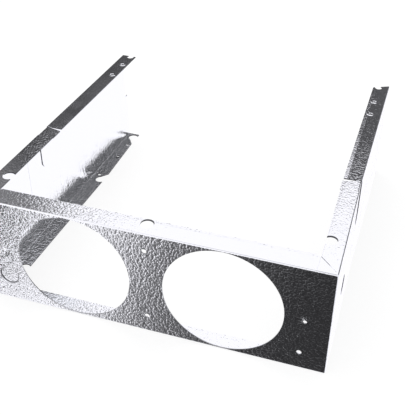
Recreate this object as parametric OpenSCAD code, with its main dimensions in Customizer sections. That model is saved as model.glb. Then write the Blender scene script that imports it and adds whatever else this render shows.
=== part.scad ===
// Evaporator cover: one aluminium sheet folded into a channel and bent into a U
// around the coil. The front wall has two fan openings, and the two side arms
// run back and are open at the rear. Flanges turn in along the top and bottom.

/* [Sheet] */
// Thickness of the sheet
sheet = 1; // [0.8:0.1:1.2]
// Inner radius of every fold
fold_in = 0.4; // [0.2:0.1:0.8]
// Degrees that each arm leans inward
toe_in = 1.5; // [0:0.1:3]
// Degrees that the right arm turns back out behind its pipe knock-out
right_kink = 1.2; // [0:0.1:3]

/* [Walls] */
// Width of the front wall over its corners
front_w = 353; // [345:1:420]
// Height of the walls, flanges included
height = 120; // [119:1:160]
// Length of the left arm from the front face
left_len = 347; // [300:1:420]
// How far the left arm's top flange stops short of the arm's end
left_short = 5.5; // [0:0.5:8]
// How much longer the right arm is
right_longer = 17; // [10:1:40]
// How far the end of the right arm's top flange slants back to its inner edge
end_slant = 9; // [0:0.5:12]

/* [Flanges] */
// Depth of the front wall's top flange from its outer face
front_top = 22.5; // [22:0.5:30]
// Depth of the front wall's bottom flange from its outer face
front_bottom = 18; // [16:0.5:30]
// Depth of the arms' flanges from their outer face
arm_flange = 18.5; // [17.5:0.5:20]
// Depth left of an arm's bottom flange at the rear, where it tapers
rear_flange = 15; // [13:0.5:17]
// Gap between flanges where they meet at a corner
mitre_gap = 0.6; // [0.3:0.1:2]

/* [Fan openings] */
// Diameter of each fan opening
fan_d = 117; // [60:0.5:117]
// Distance between the fan openings' centres
fan_pitch = 150; // [130:1:170]

/* [Fan screws] */
// Diameter of the fan screw holes
screw_d = 5; // [3:0.1:6]
// Sideways distance of a fan's two screws, which lie on a diagonal
screw_x = 150; // [130:1:155]
// Upright distance of a fan's two screws
screw_z = 80; // [60:1:90]
// Diameter of the small locating hole by the right edge
locate_d = 3.8; // [2:0.1:5]
// Distance of the locating hole from the right edge
locate_edge = 24; // [12:0.5:26]

/* [Knock-outs] */
// Thickness that still holds round a half punched knock-out
hold = 0.3; // [0.2:0.05:0.5]
// Diameter of the cable knock-outs
cable_d = 20; // [12:1:22]
// Height of the cable knock-out in the front wall
front_cable_z = 31; // [16:1:50]
// Distance of the front cable knock-out from the left edge
front_cable_x = 28; // [16:1:30]
// Height of the cable knock-out in each arm
arm_cable_z = 52; // [16:1:60]
// Distance of the arm's cable knock-out from the front face
arm_cable_y = 69; // [66:1:100]
// Width of the pipe knock-out in each arm
pipe_w = 19.5; // [12:0.5:24]
// Distance from the front face to the near side of the pipe knock-out
pipe_y = 125.5; // [115:0.5:140]
// Depth of the pipe knock-out's round end below the top
pipe_drop = 45; // [30:1:60]
// Opening of the slot across the top flange at its inner edge
slot_in = 4.6; // [1.2:0.1:8]
// Opening of that slot at the fold
slot_out = 1; // [0.4:0.1:1.2]

/* [Flange holes] */
// Diameter of the clip holes and notches
clip_d = 12.5; // [8:0.5:13]
// Clip hole in the front flanges, distance left of the middle
clip_x = 2; // [0:1:20]
// Distance of that hole from the front face
clip_y = 15; // [13:0.5:15]
// Distance of the arms' clip notches from the outer face
clip_inset = 14.3; // [13.5:0.1:16]
// Distance of the first clip notch from the front face
notch_y1 = 45; // [40:0.5:52]
// Distance of the second clip notch from the left arm's end, only in a bottom flange
notch_end2 = 118; // [105:0.5:125]
// Distance of the rear clip notch from that end, only in a bottom flange
notch_end3 = 8.8; // [8.5:0.1:13]
// Length of the corner nibbled off beside a bottom notch
nibble = 8; // [4:0.5:12]
// Inner diameter of the arms' fixing holes
fix_d = 4; // [3:0.1:5]
// Wall of the collar pressed inward round a fixing hole
collar_wall = 0.7; // [0.4:0.1:1]
// Height of that collar below the flange
collar_h = 1.2; // [0.5:0.1:3]
// Distance of the fixing holes from the outer face
fix_inset = 12.2; // [9:0.1:13]
// Distance of the rear fixing holes from the left arm's end
fix_end = 31.5; // [29:0.5:50]
// Distance between the fixing holes
fix_pitch = 30.5; // [12:0.5:40]
// How much further back the rear features of the right arm are
right_back = 3.5; // [0:0.5:4]
// Diameter of the half round notch in the end of a top flange
end_notch_d = 8; // [4:0.5:10]

/* [Hidden] */
$fn = 96;
fold_out = fold_in + sheet;
half_w = front_w / 2;
corner_x = half_w - fold_out;
right_len = left_len + right_longer;
rear_y = right_len;
mid_z = height / 2;
wall_h = height - 2 * fold_out;
past = 1;
mitre = mitre_gap / sqrt(2);
mitre_back = 1.2;
step = sheet - hold;
pipe_end = pipe_y + pipe_w;
pipe_bottom = height - pipe_drop;
notch_y2 = left_len - notch_end2;
notch_y3 = left_len - notch_end3;
fix_y = left_len - fix_end;
behind = 1.5;
kink_jog = 0.1;
dent_r = 12;
dent_depth = 0.3;

// Quarter ring of one fold
module fold_section() {
    intersection() {
        translate([fold_out, fold_out]) difference() {
            circle(r = fold_out);
            circle(r = fold_in);
        }
        square(fold_out);
    }
}

// Section of a folded wall, outer face on the Y axis, flanges towards +X
module channel(bottom, top) {
    translate([0, fold_out]) square([sheet, wall_h]);
    translate([fold_out, 0]) square([bottom - fold_out, sheet]);
    translate([fold_out, height - sheet]) square([top - fold_out, sheet]);
    fold_section();
    translate([0, height]) mirror([0, 1]) fold_section();
}

// Puts a cutter made along Z through the front wall
module through_front(x, z) {
    translate([x, sheet / 2, z]) rotate([90, 0, 0]) children();
}

module front_wall() {
    knock_x = front_cable_x - half_w;
    difference() {
        translate([-corner_x, 0, 0]) rotate([90, 0, 90])
            linear_extrude(2 * corner_x) channel(front_bottom, front_top);
        for (side = [0, 1]) mirror([side, 0, 0]) front_mitre();
        for (side = [-1, 1]) translate([side * fan_pitch / 2, 0, 0]) fan_cuts();
        through_front(half_w - locate_edge, mid_z - 1)
            cylinder(h = sheet + past, d = locate_d, center = true);
        for (x = [half_w - locate_edge - 3, locate_edge + 3 - half_w])
            translate([x, dent_depth - dent_r, mid_z + 1]) sphere(r = dent_r);
        through_front(knock_x, front_cable_z) cylinder(h = sheet + past, d = cable_d, center = true);
        translate([-clip_x, clip_y, -past]) cylinder(h = height + 2 * past, d = clip_d);
    }
    translate([0, step, 0]) through_front(knock_x, front_cable_z)
        cylinder(h = sheet, d = cable_d, center = true);
}

// Takes the right corner off the front flanges, where they meet the arm's
module front_mitre() {
    far_y = max(front_top, front_bottom) + past;
    edge = corner_x + fold_out + mitre_back - mitre;
    translate([0, 0, -past]) linear_extrude(height + 2 * past)
        polygon([[corner_x + past, edge - corner_x - past], [corner_x + past, far_y], [edge - far_y, far_y]]);
}

// One fan opening with its two screw holes, upper left and lower right
module fan_cuts() {
    through_front(0, mid_z) {
        cylinder(h = sheet + past, d = fan_d, center = true);
        for (end = [-1, 1])
            translate([end * screw_x / 2, -end * screw_z / 2, 0])
                cylinder(h = sheet + past, d = screw_d, center = true);
    }
}

// Upright bend between the front wall and an arm, centred on its own axis
module corner_bend() {
    translate([0, 0, fold_out]) rotate([0, 0, 180 - toe_in]) rotate_extrude(angle = 90 + toe_in)
        translate([fold_in, 0]) square([sheet, wall_h]);
}

// Stretch of a left arm, outer face on the Y axis and y counted from the front face
module arm_channel(from_y, to_y) {
    translate([0, to_y, 0]) rotate([90, 0, 0])
        linear_extrude(to_y - from_y) channel(arm_flange, arm_flange);
}

// Puts a cutter made along Z through an arm's wall
module through_arm(y, z) {
    translate([sheet / 2, y, z]) rotate([90, 0, 90]) children();
}

// Outline of the pipe knock-out through wall, fold and top flange
module pipe_shape(back) {
    through_arm(pipe_y + back, 0) translate([0, 0, -fold_out]) linear_extrude(arm_flange + 2 * fold_out) {
        translate([0, pipe_bottom + pipe_w / 2]) square([pipe_w, pipe_drop]);
        translate([pipe_w / 2, pipe_bottom + pipe_w / 2]) circle(d = pipe_w);
    }
}

// Arm in front of the kink, with the two half punched knock-outs
module arm_front(back) {
    end_y = pipe_end + back;
    difference() {
        arm_channel(fold_out, end_y + behind);
        arm_mitre();
        pipe_shape(back);
        through_arm(arm_cable_y, arm_cable_z)
            cylinder(h = sheet + past, d = cable_d, center = true);
        translate([clip_inset, notch_y1, -past]) cylinder(h = height + 2 * past, d = clip_d);
    }
    translate([step, 0, 0]) through_arm(arm_cable_y, arm_cable_z)
        cylinder(h = sheet, d = cable_d, center = true);
    difference() {
        translate([step, 0, 0]) intersection() {
            arm_channel(fold_out, end_y + past);
            pipe_shape(back);
        }
        translate([0, end_y, height - sheet - past]) linear_extrude(sheet + 2 * past)
            polygon([
                [fold_out + step, past],
                [fold_out + step, -slot_out],
                [arm_flange + past, -slot_in],
                [arm_flange + past, past]
            ]);
    }
}

// Takes the front corner off an arm's flanges
module arm_mitre() {
    slope = tan(45 + toe_in);
    start = fold_out + mitre + mitre_back;
    translate([0, 0, -past]) linear_extrude(height + 2 * past)
        polygon([
            [fold_out, fold_out - past],
            [arm_flange + past, fold_out - past],
            [arm_flange + past, start + (arm_flange + past - fold_out) * slope],
            [fold_out, start]
        ]);
}

// Arm behind the kink, with y still counted from the front face
module arm_rear(len, back, top_short, slant) {
    difference() {
        arm_channel(pipe_end + back, len);
        translate([0, 0, mid_z]) linear_extrude(height) polygon([
            [-past, len + past],
            [-past, len - top_short],
            [fold_out, len - top_short],
            [arm_flange + past, len - top_short - slant],
            [arm_flange + past, len + past]
        ]);
        translate([fix_inset, len - top_short - slant * 0.6 - 2.3, mid_z])
            cylinder(h = mid_z + past, d = end_notch_d);
        translate([0, back, -past]) linear_extrude(2 * past + sheet) bottom_notches(len - back);
        translate([0, back, 0]) each_fixing() fixing_hole();
    }
    translate([0, back, 0]) each_fixing() fixing_collar();
}

// Outline cut out of an arm's bottom flange towards the rear
module bottom_notches(len) {
    rear_x = clip_inset - 4;
    taper_y = notch_y2 + clip_d / 2 + nibble;
    translate([clip_inset, notch_y2]) circle(d = clip_d);
    translate([rear_x, notch_y3]) circle(d = clip_d);
    translate([fix_inset - 4, notch_y2 + clip_d / 2 + 3]) circle(d = fix_d);
    polygon([
        [clip_inset - 3, notch_y2 + clip_d / 2 - 1],
        [arm_flange + past, notch_y2],
        [arm_flange + past, notch_y3],
        [rear_flange, notch_y3],
        [rear_x - 3, notch_y3 - 5],
        [rear_flange, notch_y3 - clip_d / 2 - nibble - 2],
        [arm_flange, taper_y]
    ]);
    translate([rear_flange, notch_y3]) square([arm_flange, len]);
}

// Places its children at the four fixing holes, pointing inward
module each_fixing() {
    for (y = [fix_y, fix_y - fix_pitch]) for (flip = [0, 1])
        translate([fix_inset, y, flip * height]) mirror([0, 0, flip]) children();
}

// Hole with a rounded mouth, made upward from the outer face
module fixing_hole() {
    translate([0, 0, -past]) cylinder(h = sheet + collar_h + 2 * past, d = fix_d);
    translate([0, 0, -0.01]) cylinder(h = sheet * 0.6, d1 = fix_d + 2 * collar_wall + 0.6, d2 = fix_d);
}

module fixing_collar() {
    translate([0, 0, sheet - 0.2]) difference() {
        cylinder(h = collar_h + 0.2, d = fix_d + 2 * collar_wall);
        translate([0, 0, -past]) cylinder(h = collar_h + 2 * past, d = fix_d);
    }
}

// A whole arm made as a left one: kink degrees outward behind the pipe knock-out
module arm(len, kink, back, top_short, slant) {
    kink_y = pipe_end + back + behind;
    arm_front(back);
    difference() {
        translate([kink > 0 ? kink_jog : 0, kink_y, 0]) rotate([0, 0, kink])
            translate([0, -kink_y, 0]) arm_rear(len, back, top_short, slant);
        translate([-height, kink_y - height, -past]) cube([2 * height, height, height + 2 * past]);
    }
}

module cover_sheet() {
    color([0.78, 0.78, 0.79]) translate([0, -rear_y / 2, 0]) {
        front_wall();
        for (side = [0, 1]) mirror([side, 0, 0]) translate([-corner_x, fold_out, 0]) {
            corner_bend();
            rotate([0, 0, -toe_in]) translate([-fold_out, -fold_out, 0]) {
                if (side == 0) arm(left_len, 0, 0, left_short, 0);
                else arm(right_len, right_kink, right_back, 0, end_slant);
            }
        }
    }
}

cover_sheet();
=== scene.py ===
"""Evaporator cover of bright stucco embossed aluminium, on a white table.

The folded sheet comes from model.glb. This script gives it its finish and
sets the table, the light tent, the lamp and the camera round it.
"""

import math

import bmesh
import bpy
from mathutils import Matrix, Vector


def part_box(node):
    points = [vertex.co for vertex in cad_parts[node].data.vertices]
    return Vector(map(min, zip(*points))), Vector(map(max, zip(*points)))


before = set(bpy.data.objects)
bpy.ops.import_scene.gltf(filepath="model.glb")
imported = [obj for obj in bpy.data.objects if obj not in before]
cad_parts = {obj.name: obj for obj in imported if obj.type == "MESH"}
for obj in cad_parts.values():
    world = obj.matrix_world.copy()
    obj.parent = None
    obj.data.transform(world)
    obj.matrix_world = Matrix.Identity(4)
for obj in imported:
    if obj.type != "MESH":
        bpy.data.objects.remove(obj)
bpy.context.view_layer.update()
SHEET_LOW, SHEET_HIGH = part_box("cover_sheet")

bl_info = {
    "name": "Evaporator Cover",
    "version": (1, 0, 0),
    "blender": (4, 5, 0),
    "location": "3D View > Sidebar > Cover",
    "description": "Finish and studio stage of a folded stucco aluminium evaporator cover",
    "category": "Object",
}

MILLIMETRE = 0.001

# Faces of the cover's box
LEFT, RIGHT = SHEET_LOW.x, SHEET_HIGH.x
FRONT, REAR = SHEET_LOW.y, SHEET_HIGH.y
BOTTOM, TOP = SHEET_LOW.z, SHEET_HIGH.z

# Marks on the sheet, in metres
FOLD = 1.45 * MILLIMETRE
KNOCK_OUT = (LEFT + 0.028, FRONT, 0.031)
# Half width of the painted shade line round the knock-out
KNOCK_OUT_SHADE_LINE = 0.6 * MILLIMETRE
CLIP_HOLES = ((-0.002, FRONT + 0.015, TOP), (-0.161, -0.1374, TOP), (0.161, -0.1374, TOP))
SCREW_HOLES = ((-0.15608, 0.13311, TOP), (-0.15688, 0.10262, TOP),
               (0.15942, 0.13692, TOP), (0.15958, 0.10642, TOP))
SCRATCH_Y, SCRATCH_LOW, SCRATCH_HIGH = -0.084, 0.055, 0.112
DENTS = ((LEFT + 0.027, FRONT, TOP / 2 + 0.001), (RIGHT - 0.027, FRONT, TOP / 2 + 0.001))
DENT_RADIUS = 0.0035

# Panels of the light tent, each from one heading in degrees to the next
BACK_PANEL = (-75, 15)
SIDE_PANEL = (15, 75)
FAR_LEFT_PANEL = (-125, -75)
FAR_RIGHT_PANEL = (95, 160)
WING_PANELS = (70, 140)

# What the glow of the white table and its lit share come to together
TABLE_LEVEL = 1.06
TABLE_HALF = 20.0
LAMP_WIDTH = 1.2
LAMP_PLACE = Vector((-0.6, 0.5, 1.6))


class SheetFinish(bpy.types.PropertyGroup):
    """Finish of the folded sheet"""

    metal: bpy.props.FloatVectorProperty(
        name="Metal", description="Colour of the bare aluminium",
        default=(0.91, 0.92, 0.93), subtype="COLOR", min=0, max=1)
    # Dark colour of the cut edges, also painted as shade round the knock-out, behind the clip holes
    # and in the right crease
    edge_and_shade_metal: bpy.props.FloatVectorProperty(
        name="Cut edge", description="Colour of the sheared and punched edges",
        default=(0.14, 0.14, 0.145), subtype="COLOR", min=0, max=1)
    gloss: bpy.props.FloatProperty(
        name="Roughness", description="Roughness of the rolled face",
        default=0.07, min=0, max=1)
    cut_gloss: bpy.props.FloatProperty(
        name="Edge roughness", description="Roughness of the cut edges",
        default=0.42, min=0, max=1)
    grain: bpy.props.FloatProperty(
        name="Grain", description="Width of one pebble of the stucco pattern",
        default=0.0023, unit="LENGTH", min=0.001, max=0.01)
    relief: bpy.props.FloatProperty(
        name="Relief", description="Height of the stucco pattern on the outer face",
        default=0.000085, unit="LENGTH", min=0, max=0.001)
    ripple: bpy.props.FloatProperty(
        name="Ripple", description="Height of the fine ripple as a share of the relief",
        default=2.2, min=0, max=10)
    flange_relief: bpy.props.FloatProperty(
        name="Flange relief", description="Share of the relief on the flanges",
        default=0.65, min=0, max=1)
    pressed_flat: bpy.props.FloatProperty(
        name="Pressed flat",
        description="Share of the relief that the right part of the front flange lacks besides",
        default=0.25, min=0, max=0.5)
    inner_calm: bpy.props.FloatProperty(
        name="Calm inside", description="Share of the relief that the inside of the left arm lacks",
        default=0.35, min=0, max=1)
    calm: bpy.props.FloatProperty(
        name="Calm arm",
        description="Share of the relief that the left arm's top flange lacks besides",
        default=0.4, min=0, max=0.5)
    streak: bpy.props.FloatProperty(
        name="Streaks", description="Height of the coarse upright streaks on the arms",
        default=0.0003, unit="LENGTH", min=0, max=0.002)
    dimple: bpy.props.FloatProperty(
        name="Dimple", description="Depth of the soft dimple round the dents",
        default=0.0002, unit="LENGTH", min=0, max=0.001)
    dome: bpy.props.FloatProperty(
        name="Dome", description="Height of the drawn rim round the rear screw holes",
        default=0.0004, unit="LENGTH", min=0, max=0.001)
    knock_out: bpy.props.FloatProperty(
        name="Knock-out", description="Radius of the knock-out of the front wall",
        default=0.010, unit="LENGTH", min=0, max=0.02)
    clip_hole: bpy.props.FloatProperty(
        name="Clip hole", description="Radius of the clip holes of the top flanges",
        default=0.00635, unit="LENGTH", min=0, max=0.01)
    # Painted shade: width of the dark crescent painted behind each clip hole
    rear_rim_shade: bpy.props.FloatProperty(
        name="Burr", description="Width of the dark burr behind each clip hole",
        default=0.0012, unit="LENGTH", min=0, max=0.003)
    wave: bpy.props.FloatProperty(
        name="Waves", description="Height of the long soft waves of the thin sheet",
        default=0.0003, unit="LENGTH", min=0, max=0.002)
    wave_length: bpy.props.FloatProperty(
        name="Wave length", description="Length of those waves",
        default=0.07, unit="LENGTH", min=0.02, max=0.3)
    lift: bpy.props.FloatProperty(
        name="Lift",
        description="How far the right top flange rises along the arm in front of its slit",
        default=math.radians(0.5), unit="ROTATION", min=0, max=0.2)
    droop: bpy.props.FloatProperty(
        name="Droop",
        description="How far the right top flange falls along the arm behind its slit",
        default=math.radians(2.2), unit="ROTATION", min=0, max=0.2)
    slit_y: bpy.props.FloatProperty(
        name="Slit", description="Where the slit of the right top flange lies",
        default=-0.034, unit="LENGTH", min=-0.2, max=0.2)


class StageLook(bpy.types.PropertyGroup):
    """Table, light tent, lamp and camera"""

    camera_at: bpy.props.FloatVectorProperty(
        name="Camera place", description="Where the camera stands",
        default=(0.2215, -0.6774, 0.5395), subtype="XYZ", unit="LENGTH")
    azimuth: bpy.props.FloatProperty(
        name="Azimuth", description="Turn of the camera round the cover",
        default=math.radians(18.0), unit="ROTATION")
    elevation: bpy.props.FloatProperty(
        name="Elevation", description="Angle at which the camera looks down",
        default=math.radians(35.83), unit="ROTATION")
    roll: bpy.props.FloatProperty(
        name="Roll", description="Turn of the camera about its own axis",
        default=math.radians(0.49), unit="ROTATION")
    lens: bpy.props.FloatProperty(
        name="Lens", description="Focal length in millimetres on a sensor 36 mm wide",
        default=66.39, min=10, max=300)
    table: bpy.props.FloatVectorProperty(
        name="Table", description="Colour of the table",
        default=(0.9, 0.9, 0.9), subtype="COLOR", min=0, max=1)
    glow: bpy.props.FloatProperty(
        name="Table glow", description="Share of the white of the table that no shadow dims",
        default=0.8, min=0, max=1)
    sky: bpy.props.FloatProperty(
        name="Surrounding light", description="Strength of the even light round the cover",
        default=1.0, min=0, max=3)
    lamp: bpy.props.FloatProperty(
        name="Lamp", description="Power of the soft lamp above",
        default=6.0, subtype="POWER", min=0, max=100)
    dark_panel: bpy.props.FloatProperty(
        name="Dark panels", description="Brightness of the dark panels of the light tent",
        default=0.09, min=0, max=1)
    clutter: bpy.props.FloatProperty(
        name="Clutter", description="Contrast of the patches on the dark panels",
        default=0.9, min=0, max=2)
    side_panel: bpy.props.FloatProperty(
        name="Side panel", description="Brightness of the panel behind on the right",
        default=0.115, min=0, max=1)
    front_panel: bpy.props.FloatProperty(
        name="Front panel", description="Brightness of the dark end of the panel low in front",
        default=0.03, min=0, max=1)
    back_rise: bpy.props.FloatProperty(
        name="Back panel rise", description="Elevation in degrees up to which the back panel reaches",
        default=33.0, min=0, max=90)
    side_rise: bpy.props.FloatProperty(
        name="Side panel rise",
        description="Elevation in degrees up to which the back right panel reaches",
        default=46, min=0, max=90)
    ceiling: bpy.props.FloatProperty(
        name="Ceiling", description="Share of its light that the tent lacks straight above",
        default=0.45, min=0, max=0.7)
    tent_tint: bpy.props.FloatVectorProperty(
        name="Tent tint", description="Colour of the light tent",
        default=(1.0, 0.99, 1.045), subtype="COLOR", min=0, max=2)
    tent_light: bpy.props.FloatProperty(
        name="Tent light", description="Brightness of the white of the light tent",
        default=1.08, min=0, max=2)
    tent_radius: bpy.props.FloatProperty(
        name="Tent radius", description="Radius of the light tent round the cover",
        default=3.0, unit="LENGTH", min=1, max=10)


class Value:
    """A shader socket that can be written in a sum"""

    def __init__(self, recipe, socket):
        self.recipe = recipe
        self.socket = socket

    def __getitem__(self, output):
        return Value(self.recipe, self.socket.node.outputs[output])

    def math(self, operation, *values):
        return self.recipe.node("ShaderNodeMath", {"operation": operation},
                                dict(enumerate(values)))

    def __add__(self, other):
        return self.math("ADD", self, other)

    __radd__ = __add__

    def __sub__(self, other):
        return self.math("SUBTRACT", self, other)

    def __rsub__(self, other):
        return self.math("SUBTRACT", other, self)

    def __mul__(self, other):
        return self.math("MULTIPLY", self, other)

    __rmul__ = __mul__

    def __gt__(self, other):
        return self.math("GREATER_THAN", self, other)

    def __lt__(self, other):
        return self.math("LESS_THAN", self, other)

    def __abs__(self):
        return self.math("ABSOLUTE", self)

    def at_least(self, other):
        return self.math("MAXIMUM", self, other)


class Recipe:
    """Node tree of one finish"""

    def __init__(self, owner):
        owner.use_nodes = True
        self.tree = owner.node_tree
        self.tree.nodes.clear()

    def node(self, kind, settings=None, inputs=None):
        """Adds a node, sets it up, feeds its sockets and returns its first output"""
        made = self.tree.nodes.new(kind)
        for name, setting in (settings or {}).items():
            setattr(made, name, setting)
        for name, value in (inputs or {}).items():
            if isinstance(value, Value):
                self.tree.links.new(value.socket, made.inputs[name])
            else:
                made.inputs[name].default_value = value
        return Value(self, made.outputs[0]) if made.outputs else None

    def step(self, value, low, high):
        """Runs smoothly from 0 at low to 1 at high"""
        return self.node("ShaderNodeMapRange", {"interpolation_type": "SMOOTHSTEP"},
                         {"Value": value, "From Min": low, "From Max": high})

    def blend(self, factor, low, high):
        """Colour between low and high"""
        mixed = self.node("ShaderNodeMix", {"data_type": "RGBA"},
                          {"Factor": factor, 6: low, 7: high})
        return mixed[2]

    def moved(self, first, second):
        return self.node("ShaderNodeVectorMath", {"operation": "ADD"}, {0: first, 1: second})

    def scaled(self, vector, factor):
        return self.node("ShaderNodeVectorMath", {"operation": "SCALE"},
                         {0: vector, "Scale": factor})


def colour(value):
    """Opaque colour from three parts or from one grey"""
    parts = tuple(value) if hasattr(value, "__len__") else (value,) * 3
    return (*parts, 1.0)


def stucco_height(recipe, place, look):
    """Height of the embossed pebbles, from 0 to about 1"""
    drift = recipe.node("ShaderNodeTexNoise", {"noise_dimensions": "3D"},
                        {"Vector": place, "Scale": 0.9 / look.grain, "Detail": 1.0})
    warped = recipe.moved(place, recipe.scaled(drift["Color"], 0.6 * look.grain))
    pebbles = recipe.node("ShaderNodeTexVoronoi", {"feature": "F1"},
                          {"Vector": warped, "Scale": 1 / look.grain, "Randomness": 1.0})
    ripple = recipe.node("ShaderNodeTexNoise", {"noise_dimensions": "3D"},
                         {"Vector": place, "Scale": 0.5 / look.grain, "Detail": 3.0,
                          "Roughness": 0.6})
    return recipe.step(pebbles["Distance"], 0.85, 0.35) + look.ripple * ripple["Fac"]


def streak_height(recipe, place, look):
    """Height of the coarse upright streaks of the arms, from 0 to 1"""
    long_way = recipe.node("ShaderNodeVectorMath", {"operation": "MULTIPLY"},
                           {0: place, 1: (1.0, 2.2, 0.5)})
    streaks = recipe.node("ShaderNodeTexNoise", {"noise_dimensions": "3D"},
                          {"Vector": long_way, "Scale": 0.4 / look.grain, "Detail": 1.0})
    return streaks["Fac"]


def cut_edges(spot, turned):
    """1 on sheared and punched edges, 0 on the faces and folds of the sheet"""
    x, y, z = abs(spot["X"]), spot["Y"], spot["Z"]
    across, along, upward = (abs(turned[axis]) for axis in "XYZ")
    wall = (z > BOTTOM + FOLD) * (z < TOP - FOLD)
    front = y < FRONT + 0.95 * MILLIMETRE
    punched_front = front * wall * (along < 0.3) * (x < RIGHT - FOLD)
    sheared_arm = (y > FRONT + FOLD) * wall * (across < 0.9) * (upward < 0.99)
    inner = (x < RIGHT - 10 * MILLIMETRE) * (y > FRONT + 4 * MILLIMETRE)
    flange_rim = (1 - wall) * (upward < 0.3) * inner
    rear = y > REAR - 60 * MILLIMETRE
    return (0.6 * punched_front).at_least(sheared_arm * (1 - 0.7 * rear)).at_least(flange_rim)


def near(recipe, place, centre, radius, soft=0.0001):
    """1 within a radius of a point, 0 outside"""
    apart = recipe.node("ShaderNodeVectorMath", {"operation": "DISTANCE"}, {0: place, 1: centre})
    return recipe.step(apart["Value"], radius + soft, radius - soft)


def painted_slit_shade(recipe, place, look):
    """Painted shade: a dark line round the knock-out and a dark crescent behind each clip hole"""
    disc = near(recipe, place, KNOCK_OUT, look.knock_out + KNOCK_OUT_SHADE_LINE)
    middle = near(recipe, place, KNOCK_OUT, look.knock_out - KNOCK_OUT_SHADE_LINE)
    slit_shade = 0.6 * (disc - middle)
    # Painted shade behind each clip hole: a dark disc set back from the hole
    for centre in CLIP_HOLES:
        behind = Vector(centre) + Vector((0, look.rear_rim_shade, 0))
        slit_shade = slit_shade.at_least(near(recipe, place, behind, look.clip_hole))
    return slit_shade


def scratch_mark(spot, left_inside):
    """1 on the thin upright scratch inside the left arm"""
    line = abs(spot["Y"] - SCRATCH_Y) < 0.3 * MILLIMETRE
    return line * left_inside * (spot["Z"] > SCRATCH_LOW) * (spot["Z"] < SCRATCH_HIGH)


def relief_share(recipe, spot, turned, left_inside, look):
    """How much of the stucco relief each part of the sheet keeps"""
    top = (turned["Z"] > 0.7) * (spot["Z"] > TOP / 2)
    left_arm = (spot["X"] < LEFT + 25 * MILLIMETRE) * (spot["Y"] > FRONT + 25 * MILLIMETRE)
    front_flange = (spot["Y"] < FRONT + 19 * MILLIMETRE) * recipe.step(spot["X"], -0.07, 0.03)
    lost = 1 - look.flange_relief + look.calm * left_arm + look.pressed_flat * front_flange
    return 1 - top * lost - look.inner_calm * left_inside


def relief_height(recipe, place, spot, turned, grain, look):
    """Adds streaks, dents, drawn rims, long waves and the bent top flange to the grain's height"""
    height = grain + look.streak * streak_height(recipe, place, look) * (abs(turned["X"]) > 0.7)
    for centre in DENTS:
        height = height - look.dimple * near(recipe, place, centre, DENT_RADIUS, 0.003)
    for centre in SCREW_HOLES:
        height = height + look.dome * near(recipe, place, centre, DENT_RADIUS, 0.0015)
    waves = recipe.node("ShaderNodeTexNoise", {"noise_dimensions": "3D"},
                        {"Vector": place, "Scale": 1 / look.wave_length, "Detail": 1.0})
    right_top = (spot["X"] > RIGHT - 19 * MILLIMETRE) * (spot["Z"] > TOP - 0.3 * MILLIMETRE)
    before = spot["Y"] < look.slit_y
    tilt = before * math.tan(look.lift) - (1 - before) * math.tan(look.droop)
    return height + waves["Fac"] * look.wave + right_top * tilt * (spot["Y"] - look.slit_y)


def sheet_material(look):
    """Bright rolled aluminium with an embossed stucco pattern"""
    material = bpy.data.materials.new("stucco_aluminium")
    recipe = Recipe(material)
    place = recipe.node("ShaderNodeTexCoord")["Object"]
    facing = recipe.node("ShaderNodeNewGeometry")["True Normal"]
    spot = recipe.node("ShaderNodeSeparateXYZ", {}, {0: place})
    turned = recipe.node("ShaderNodeSeparateXYZ", {}, {0: facing})
    left_inside = (turned["X"] > 0.7) * (spot["X"] < 0)
    bent = (abs(turned["Z"]) > 0.1) * (abs(turned["Z"]) < 0.97) * (spot["Z"] < FOLD)
    # Painted shade in the crease above the bottom fold of the right arm
    right_crease_shade = bent * (spot["Z"] > 0.9 * MILLIMETRE) * (spot["X"] > 0)
    left_crease = bent * (spot["X"] < 0) * recipe.step(spot["Y"], -0.06, -0.1)
    # Cut edges and the scratch, plus painted shade round the knock-out, behind the clip holes and in
    # the right crease
    cut_and_shade = cut_edges(spot, turned).at_least(painted_slit_shade(recipe, place, look))
    cut_and_shade = cut_and_shade.at_least(0.9 * right_crease_shade).at_least(0.2 * scratch_mark(spot, left_inside))

    share = relief_share(recipe, spot, turned, left_inside, look)
    grain = stucco_height(recipe, place, look) * share * (1 - cut_and_shade) * look.relief
    height = relief_height(recipe, place, spot, turned, grain, look)
    bump = recipe.node("ShaderNodeBump", {}, {"Strength": 1.0, "Distance": 1.0, "Height": height})

    smudge = recipe.node("ShaderNodeTexNoise", {"noise_dimensions": "3D"},
                         {"Vector": place, "Scale": 22.0, "Detail": 4.0, "Roughness": 0.6})
    haze = recipe.step(smudge["Fac"], 0.45, 0.75)
    dull = (look.cut_gloss - look.gloss) * cut_and_shade.at_least(left_crease)
    # Metal darkened to the edge colour on the cut edges and on the painted shade
    tint = recipe.blend(cut_and_shade, colour(look.metal), colour(look.edge_and_shade_metal))
    shader = recipe.node("ShaderNodeBsdfPrincipled", {}, {
        "Base Color": tint, "Metallic": 1.0, "Roughness": look.gloss + 0.06 * haze + dull,
        "Normal": bump})
    recipe.node("ShaderNodeOutputMaterial", {}, {"Surface": shader})
    return material


def add_object(name, corners, faces):
    """Mesh object from corners and faces"""
    mesh = bpy.data.meshes.new(name)
    mesh.from_pydata(corners, [], faces)
    mesh.update()
    made = bpy.data.objects.new(name, mesh)
    bpy.context.scene.collection.objects.link(made)
    return made


def seen_directly(recipe):
    """1 for rays of the camera and for what mirrors or glass show of it"""
    ray = recipe.node("ShaderNodeLightPath")
    shown = ray["Is Camera Ray"].at_least(ray["Is Glossy Ray"])
    return shown.at_least(ray["Is Transmission Ray"])


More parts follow.
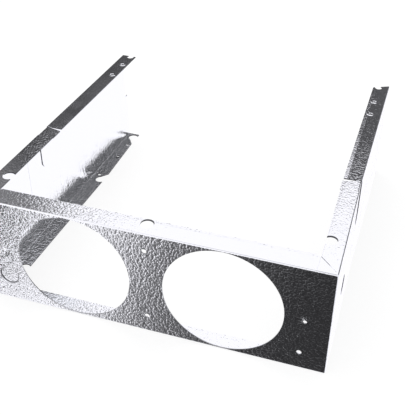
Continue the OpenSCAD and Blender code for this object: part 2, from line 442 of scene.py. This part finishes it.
def table_material(look):
    """White table that glows where it is seen and keeps the shadow"""
    material = bpy.data.materials.new("white_table")
    recipe = Recipe(material)
    shown = seen_directly(recipe)
    plain = recipe.node("ShaderNodeBsdfDiffuse", {}, {"Color": colour(look.table)})
    dimmed = tuple((TABLE_LEVEL - look.glow) * part for part in look.table)
    shaded = recipe.node("ShaderNodeBsdfDiffuse", {}, {"Color": colour(dimmed)})
    glow = recipe.node("ShaderNodeEmission", {}, {"Color": colour(1.0), "Strength": look.glow})
    white = recipe.node("ShaderNodeAddShader", {}, {0: shaded, 1: glow})
    surface = recipe.node("ShaderNodeMixShader", {}, {0: shown, 1: plain, 2: white})
    recipe.node("ShaderNodeOutputMaterial", {}, {"Surface": surface})
    return material


def panel(recipe, heading, sides, soft):
    """1 between two headings in degrees, with soft sides"""
    start, end = sides
    left = recipe.step(heading, start - soft, start + soft)
    return left * recipe.step(heading, end + soft, end - soft)


def upper_tent(recipe, heading, elevation, patches, look):
    """Brightness of the tent above the horizon"""
    low = recipe.step(elevation, look.back_rise + 0.5, look.back_rise - 0.5)
    back = panel(recipe, heading, BACK_PANEL, 3) * low * (1 - look.dark_panel)
    short = recipe.step(elevation, look.side_rise + 3, look.side_rise - 3)
    side = panel(recipe, heading, SIDE_PANEL, 3) * short * (1 - look.side_panel)
    edge = heading - 0.2 * (elevation - 36).at_least(0)
    tall = 0.78 * recipe.step(edge, -35, -38.5) * recipe.step(heading, -90, -80)
    tall = tall * recipe.step(elevation, 50, 46)
    far_left = 0.8 * panel(recipe, heading, FAR_LEFT_PANEL, 8) * recipe.step(elevation, 40, 30)
    far_right = 0.8 * panel(recipe, heading, FAR_RIGHT_PANEL, 8) * recipe.step(elevation, 45, 35)
    shade = back.at_least(side).at_least(tall).at_least(far_left).at_least(far_right)
    mottled = (1 - shade) * (1 + look.clutter * shade * (patches - 0.5))
    overhead = recipe.step(elevation, 58, 80) * (0.7 + 0.6 * patches)
    return mottled * (1 - look.ceiling * overhead)


def lower_tent(recipe, heading, elevation, leftward, patches, look):
    """Brightness of the tent below the horizon, where leftward counts from straight in front"""
    lean = leftward + 0.5 * (elevation + 41)
    front = look.front_panel + 0.16 * recipe.step(lean, 7, 27) + 0.85 * recipe.step(lean, 24, 33)
    front = front * (1 + 0.7 * (patches - 0.5))
    corner = recipe.step(leftward, 33, 36.5) * recipe.step(elevation, -39.5, -34.5)
    corner = corner * (1 - 0.65 * recipe.step(leftward, 60, 85))
    front = front * (1 - 0.95 * corner)
    glint = 0.11 + 0.6 * recipe.step(leftward, 12, 30)
    gap = recipe.step(elevation, -33, -29) * recipe.step(leftward, 32, 26)
    foot = recipe.step(elevation, -50, -54)
    bright_right = recipe.step(leftward, -30, -60)
    front = front.at_least(glint * gap.at_least(foot)).at_least(bright_right)
    wings = panel(recipe, abs(heading), WING_PANELS, 15) * recipe.step(elevation, -50, -5)
    return front * (1 - 0.6 * wings)


def tent_material(look):
    """Light tent with dark panels, painted by heading and elevation in degrees"""
    material = bpy.data.materials.new("light_tent")
    recipe = Recipe(material)
    place = recipe.node("ShaderNodeTexCoord")["Object"]
    spot = recipe.node("ShaderNodeSeparateXYZ", {}, {0: place})
    degree = 180 / math.pi
    heading = spot["X"].math("ARCTAN2", spot["X"], spot["Y"]) * degree
    elevation = spot["Z"].math("ARCSINE", spot["Z"] * (1 / look.tent_radius)) * degree
    leftward = (180 - abs(heading)) * spot["X"].math("SIGN", 0 - spot["X"])
    clutter = recipe.node("ShaderNodeTexNoise", {"noise_dimensions": "3D"},
                          {"Vector": place, "Scale": 20 / look.tent_radius, "Detail": 1.0})
    patches = recipe.step(clutter["Fac"], 0.38, 0.62)
    upper = upper_tent(recipe, heading, elevation, patches, look)
    lower = lower_tent(recipe, heading, elevation, leftward, patches, look)
    light = lower + (elevation > 0) * (upper - lower)
    glow = recipe.node("ShaderNodeEmission", {}, {
        "Color": colour(look.tent_tint), "Strength": light * look.tent_light})
    recipe.node("ShaderNodeOutputMaterial", {}, {"Surface": glow})
    return material


def only_mirrored(thing):
    """The thing shows in the metal and nowhere else"""
    thing.visible_camera = False
    thing.visible_diffuse = False
    thing.visible_shadow = False
    thing.visible_transmission = False
    thing.visible_volume_scatter = False


class COVER_OT_sheet(bpy.types.Operator):
    """Gives the folded sheet its stucco aluminium finish"""

    bl_idname = "cover.sheet"
    bl_label = "Folded sheet"

    def execute(self, context):
        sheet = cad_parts["cover_sheet"]
        finish = sheet_material(context.scene.sheet_finish)
        if not sheet.material_slots:
            sheet.data.materials.append(finish)
        for slot in sheet.material_slots:
            slot.material = finish
        return {"FINISHED"}


class COVER_OT_stage(bpy.types.Operator):
    """Sets the table, the light tent, the lamp, the backdrop and the camera"""

    bl_idname = "cover.stage"
    bl_label = "Stage"

    def execute(self, context):
        look = context.scene.stage_look
        self.lay_table(look)
        self.pitch_tent(look)
        self.set_light(context, look)
        self.set_camera(context, look)
        context.scene.view_settings.view_transform = "Standard"
        return {"FINISHED"}

    def lay_table(self, look):
        half = TABLE_HALF
        corners = [(-half, -half, 0), (half, -half, 0), (half, half, 0), (-half, half, 0)]
        table = add_object("table", corners, [(0, 1, 2, 3)])
        table.data.materials.append(table_material(look))
        table.visible_glossy = False

    def pitch_tent(self, look):
        mesh = bpy.data.meshes.new("light_tent")
        form = bmesh.new()
        bmesh.ops.create_uvsphere(form, u_segments=96, v_segments=48, radius=look.tent_radius)
        form.to_mesh(mesh)
        form.free()
        tent = bpy.data.objects.new("light_tent", mesh)
        tent.location = (0, 0, TOP / 2)
        bpy.context.scene.collection.objects.link(tent)
        mesh.materials.append(tent_material(look))
        only_mirrored(tent)

    def set_light(self, context, look):
        world = bpy.data.worlds.new("backdrop")
        context.scene.world = world
        recipe = Recipe(world)
        shown = seen_directly(recipe)
        plain = recipe.node("ShaderNodeBackground", {}, {
            "Color": colour(1.0), "Strength": look.sky})
        white = recipe.node("ShaderNodeBackground", {}, {"Color": colour(1.0), "Strength": 1.0})
        surface = recipe.node("ShaderNodeMixShader", {}, {0: shown, 1: plain, 2: white})
        recipe.node("ShaderNodeOutputWorld", {}, {"Surface": surface})
        lamp = bpy.data.lights.new("soft_lamp", "AREA")
        lamp.shape = "DISK"
        lamp.size = LAMP_WIDTH
        lamp.energy = look.lamp
        made = bpy.data.objects.new("soft_lamp", lamp)
        made.location = LAMP_PLACE
        made.rotation_euler = (-LAMP_PLACE).to_track_quat("-Z", "Y").to_euler()
        made.visible_glossy = False
        context.scene.collection.objects.link(made)

    def set_camera(self, context, look):
        a, e, r = look.azimuth, look.elevation, look.roll
        back = Vector((math.sin(a) * math.cos(e), -math.cos(a) * math.cos(e), math.sin(e)))
        right = Vector((0, 0, 1)).cross(back).normalized()
        up = back.cross(right)
        turned_right = math.cos(r) * right + math.sin(r) * up
        turned_up = math.cos(r) * up - math.sin(r) * right
        camera = bpy.data.cameras.new("camera")
        camera.sensor_fit = "HORIZONTAL"
        camera.sensor_width = 36.0
        camera.lens = look.lens
        camera.clip_start, camera.clip_end = 0.01, 100
        made = bpy.data.objects.new("camera", camera)
        turn = Matrix((turned_right, turned_up, back)).transposed()
        made.matrix_world = Matrix.Translation(look.camera_at) @ turn.to_4x4()
        context.scene.collection.objects.link(made)
        context.scene.camera = made


class COVER_PT_panel(bpy.types.Panel):
    """Steps that dress the evaporator cover"""

    bl_label = "Evaporator cover"
    bl_idname = "COVER_PT_panel"
    bl_space_type = "VIEW_3D"
    bl_region_type = "UI"
    bl_category = "Cover"

    def draw(self, context):
        column = self.layout.column()
        for group in (context.scene.sheet_finish, context.scene.stage_look):
            for name in group.__annotations__:
                column.prop(group, name)
        column.operator(COVER_OT_sheet.bl_idname)
        column.operator(COVER_OT_stage.bl_idname)


CLASSES = (SheetFinish, StageLook, COVER_OT_sheet, COVER_OT_stage, COVER_PT_panel)


def register():
    for cls in CLASSES:
        bpy.utils.register_class(cls)
    bpy.types.Scene.sheet_finish = bpy.props.PointerProperty(type=SheetFinish)
    bpy.types.Scene.stage_look = bpy.props.PointerProperty(type=StageLook)


def unregister():
    del bpy.types.Scene.stage_look
    del bpy.types.Scene.sheet_finish
    for cls in reversed(CLASSES):
        bpy.utils.unregister_class(cls)


def main():
    register()
    bpy.ops.cover.sheet()
    bpy.ops.cover.stage()


if __name__ == "__main__":
    main()
